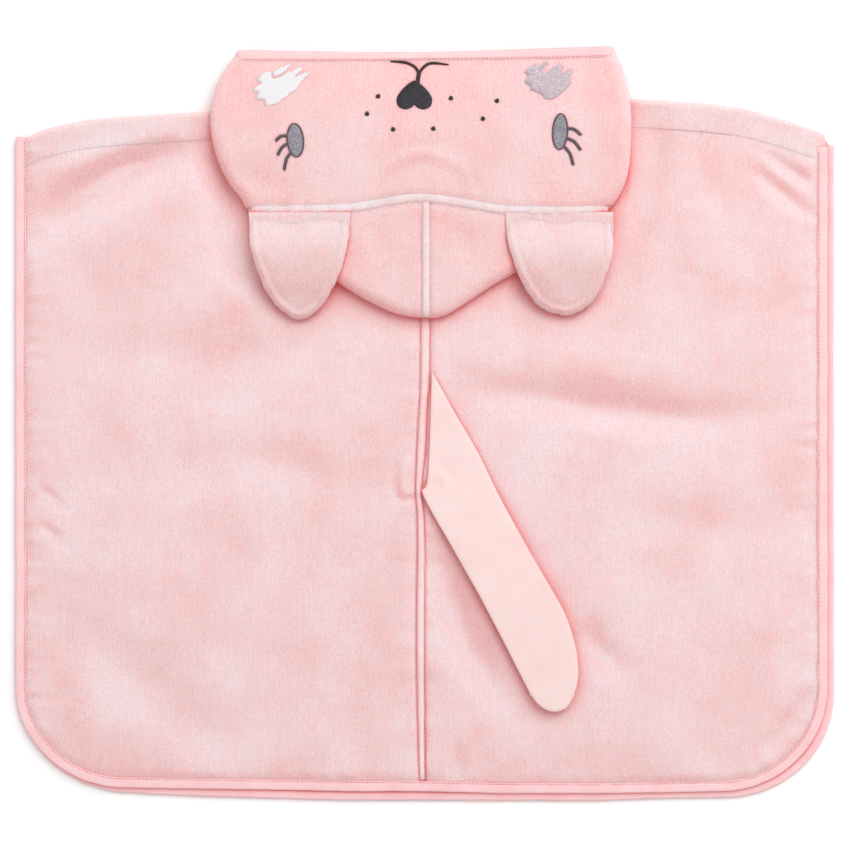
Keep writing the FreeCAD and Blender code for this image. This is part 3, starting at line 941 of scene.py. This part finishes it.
def makeTail():
    tail = tailShape
    sides = splitOutline(tail["outline"], tail["tip"])
    rim = np.vstack([sides[0][::-1], *sides[1:]])
    for layer, label in ((1, "Upper"), (-1, "Lower")):
        def heightAt(xy):
            d = nearest(xy, rim)[0]
            turn = np.sqrt(1 - (1 - np.clip(d / tail["rimRadius"], 0, 1)) ** 2)
            under = backHeight(xy, seam=False)
            root = np.exp(-(xy[:, 0].clip(0) / 9))
            far = np.clip((-30 - xy[:, 1]) / 120, 0, 1)
            z = np.maximum(0.6 * under + 0.4 * (backTop + 1.6), under - 0.2)
            z += 2.2 + 0.3 * noiseAt(xy, 40, 6.4) - 0.5 * root + tail["lift"] * far * (2 - far)
            z += layer * tail["puff"] * turn
            if layer > 0:
                z += foldRelief(xy, tail["folds"]) + 0.15 * np.exp(-((d - 2.2) / 1.0) ** 2)
            return z

        piece = leafLayer(f"tail{label}", sides, (clustered(36), clustered(150, both=False)), 0.02,
                          layer, heightAt, tailJersey, tail["cloth"])
        finishPiece(piece, "tail", [f"tail_{label.lower()}"])


makeTail()
print("tail made")

def onFace(points, lift):
    points = np.asarray(points, float)
    return np.column_stack([points, hoodHeight(points) + lift])


def fillStrands(bm, outline, angle, spacing=0.75, ragged=0.0, height=0.55, width=0.85):
    # Fills an outline with parallel strands, drawn about twice as coarse as the thread.
    outline = np.asarray(outline, float)
    a = math.radians(angle)
    along, across = np.array([math.cos(a), math.sin(a)]), np.array([-math.sin(a), math.cos(a)])
    reach = outline @ across
    for k in range(int((reach.max() - reach.min()) / spacing)):
        level = reach.min() + (k + 0.5) * spacing
        hits = []
        for p, q in zip(outline, np.roll(outline, -1, axis=0)):
            dp, dq = p @ across - level, q @ across - level
            if dp * dq < 0:
                hits.append((p + (q - p) * dp / (dp - dq)) @ along)
        hits.sort()
        for s, e in zip(hits[::2], hits[1::2]):
            s, e = s - rng.uniform(0, ragged), e + rng.uniform(0, ragged)
            if e - s < 0.7:
                continue
            ts = np.r_[s, np.linspace(s + 0.35, e - 0.35, max(int((e - s) / 3.0), 1) + 1), e]
            row = ts[:, None] * along + level * across
            addStrand(bm, onFace(row, 0.1), width, height)


def satinLine(bm, path, width, spacing=0.62, lean=20, taper=True):
    # A line of short stitches laid side by side across a path.
    path = np.asarray(path, float)
    count = max(int(lengthAlong(path)[-1] / spacing), 3)
    fine = even(path, count)
    a = math.radians(-lean)
    for k, (p, n) in enumerate(zip(fine, sideways(fine))):
        share = k / (count - 1)
        w = width * (1 - 0.45 * max(0, (share - 0.6) / 0.4)) if taper else width
        d = np.array([n[0] * math.cos(a) - n[1] * math.sin(a), n[0] * math.sin(a) + n[1] * math.cos(a)])
        row = p + np.linspace(-0.5, 0.5, 4)[:, None] * w * d
        addStrand(bm, onFace(row, 0.25), 0.75, 0.6, around=4)


def stitchPiece(name, material, node, areas=(), lines=()):
    # One piece of embroidery: filled areas, and satin lines along paths.
    bm = bmesh.new()
    for area in areas:
        fillStrands(bm, **area)
    for row in lines:
        satinLine(bm, **row)
    finishPiece(makeObject(name, bm, material), "hood_top", [node])


def heartOutline(centre, size):
    # A point at one end and two lobes at the other.
    w, h = size[0] / 2, size[1] / 2
    half = smooth([(0, h), (w * 0.32, h * 0.78), (w * 0.72, h * 0.3), (w * 0.98, -h * 0.25), (w * 0.9, -h * 0.78),
                   (w * 0.55, -h), (w * 0.18, -h * 0.9), (0, -h * 0.68)], 60)
    other = half[::-1] * np.array([-1, 1])
    return np.vstack([half, other]) + np.asarray(centre)


def ellipse(centre, semi, tilt, count=60):
    t = np.linspace(0, 2 * math.pi, count)
    a = math.radians(tilt)
    x, y = semi[0] * np.cos(t), semi[1] * np.sin(t)
    return np.column_stack([centre[0] + x * math.cos(a) - y * math.sin(a),
                            centre[1] + x * math.sin(a) + y * math.cos(a)])


faceShapes = {
    "nose": {"centre": (-7.8, 241.2), "size": (26.4, 21.2)},
    "mouth": [[(-5.5, 250), (-4.4, 257.5)], [(-4.4, 257), (-7.5, 261.5), (-14, 264.6), (-25, 265.6)],
              [(-4.4, 257), (-0.5, 261.8), (5, 264.3), (17, 263.2)]],
    "freckles": [(-34.4, 240.2), (-42.5, 227.4), (-23.5, 215.9), (6, 216.5), (18.8, 238.8), (42.1, 223.8),
                 (52.4, 236.9)],
    "freckleRadius": 1.75,
    "left": {"centre": (-94.7, 208), "semi": (6.4, 12.6), "tilt": 5,
             "lashes": [[(-100.5, 211), (-105, 211), (-109, 207.6)],
                        [(-100.5, 205.5), (-104.5, 202.6), (-107.6, 197.3)],
                        [(-97.5, 199.5), (-101, 194.5), (-103, 186.5)]]},
    "right": {"centre": (98.6, 214.2), "semi": (5.9, 13.4), "tilt": -3,
              "lashes": [[(104, 216.5), (109, 215.8), (113.8, 211.8)], [(103.5, 209.5), (109, 206.8), (113.5, 200.9)],
                         [(101.5, 203.5), (105.8, 198.2), (108.2, 190)]]},
    "white": [(-123, 252.1), (-116.9, 258.5), (-112.2, 257.9), (-112.4, 253.6), (-110.1, 252.4), (-104.3, 254.6),
              (-91.4, 262), (-89.4, 259.8), (-96.3, 253.9), (-85.3, 258), (-84.5, 256.4), (-90.2, 251.2),
              (-93.9, 245.7), (-108.6, 234.6), (-116.2, 232.8), (-116.9, 237.7), (-123.6, 238.7), (-121.3, 243),
              (-126.6, 244.5), (-119.7, 249.9)],
    "whiteFinger": [(-110.4, 254.2), (-111.6, 257.3), (-108.6, 259.4), (-99.4, 263.6), (-97.7, 261.9),
                    (-106.1, 256.1)],
    "silver": [(71.8, 257.7), (76.7, 261.6), (80.4, 263.5), (82.8, 261.4), (88.4, 265.3), (89.9, 264.5), (85.4, 258),
               (86.2, 255.6), (95.7, 262.1), (98.2, 263.8), (101.2, 261.6), (98, 257.2), (99.6, 256.4), (105.5, 259.9),
               (108, 257.7), (105.3, 253.7), (106.4, 249.4), (97.6, 240.8), (93.3, 237.7), (87.8, 238.4), (84.7, 242),
               (77, 244.9), (77.6, 247.7), (72.4, 250.7), (75.7, 255.3)],
}


def makeEmbroidery():
    f = faceShapes
    nose = heartOutline(f["nose"]["centre"], f["nose"]["size"])
    stitchPiece("noseStitches", charcoalThread, "nose_embroidery", [{"outline": nose, "angle": 0}])
    stem = {"path": smooth(f["mouth"][0], 20), "width": 3.4, "taper": False}
    arms = [{"path": smooth(arm, 40), "width": 2.3} for arm in f["mouth"][1:]]
    stitchPiece("mouthStitches", charcoalThread, "mouth_embroidery", lines=[stem, *arms])
    dots = [{"outline": ellipse(centre, (f["freckleRadius"],) * 2, 0, 20), "angle": 35 + 20 * (k % 3), "spacing": 0.6}
            for k, centre in enumerate(f["freckles"])]
    stitchPiece("freckleStitches", charcoalThread, "freckle_embroidery", dots)
    for side, lean in (("left", 8), ("right", -8)):
        eye = f[side]
        inside, edge = (ellipse(eye["centre"], [r - inset for r in eye["semi"]], eye["tilt"], count)
                        for inset, count in ((1, 60), (0.4, 90)))
        stitchPiece(f"eyeFill{side.title()}", greyThread, f"eye_{side}_fill",
                    [{"outline": inside, "angle": lean}])
        rows = [{"path": edge, "width": 1.1, "taper": False}]
        rows += [{"path": smooth(lash, 30), "width": 2.6, "taper": False} for lash in eye["lashes"]]
        stitchPiece(f"eyeOutline{side.title()}", slateThread, f"eye_{side}_outline", lines=rows)
    loose = {"spacing": 0.8, "ragged": 0.7, "width": 1.0}
    stitchPiece("whiteScribble", whiteThread, "cheek_patch_white",
                [{"outline": f[shape], "angle": 31, "height": 0.75, **loose} for shape in ("white", "whiteFinger")])
    stitchPiece("silverScribble", silverThread, "cheek_patch_silver",
                [{"outline": f["silver"], "angle": 42, "height": 0.7, **loose}])


makeEmbroidery()
print("embroidery made")

studio = {
    "lensMm": 100.0, "sensorMm": 36.0, "frameWidth": 0.625, "keyPower": 70.0, "keySize": 2.2,
    "keyPlace": (0.9, 1.9, 2.6), "worldStrength": 0.72,
}


def makeStudio():
    bm = bmesh.new()
    bmesh.ops.create_grid(bm, x_segments=1, y_segments=1, size=4000)
    # Plain matt white paint: it gives a white ground with soft shadows.
    material = newMaterial("paleFloor", {"Base Color": linear("#FAFAFA"), "Roughness": 0.9,
                                              "Specular IOR Level": 0.1})[0]
    floor = makeObject("floor", bm, material, smoothShade=False)

    light = bpy.data.lights.new("key", "AREA")
    light.energy = studio["keyPower"]
    light.size = studio["keySize"]
    key = bpy.data.objects.new("key", light)
    key.location = studio["keyPlace"]
    key.rotation_euler = (-Vector(studio["keyPlace"])).to_track_quat("-Z", "Y").to_euler()
    bpy.context.scene.collection.objects.link(key)

    world = bpy.data.worlds.new("studio")
    world.use_nodes = True
    world.node_tree.nodes["Background"].inputs["Color"].default_value = (1, 1, 1, 1)
    world.node_tree.nodes["Background"].inputs["Strength"].default_value = studio["worldStrength"]
    bpy.context.scene.world = world
    bpy.context.scene.view_settings.view_transform = "Standard"

    camera = bpy.data.cameras.new("camera")
    camera.lens, camera.sensor_width = studio["lensMm"], studio["sensorMm"]
    camera.clip_start, camera.clip_end = 0.05, 20
    view = bpy.data.objects.new("camera", camera)
    view.location = (0, 0, studio["frameWidth"] * studio["lensMm"] / studio["sensorMm"] + 0.008)
    bpy.context.scene.collection.objects.link(view)
    bpy.context.scene.camera = view


makeStudio()
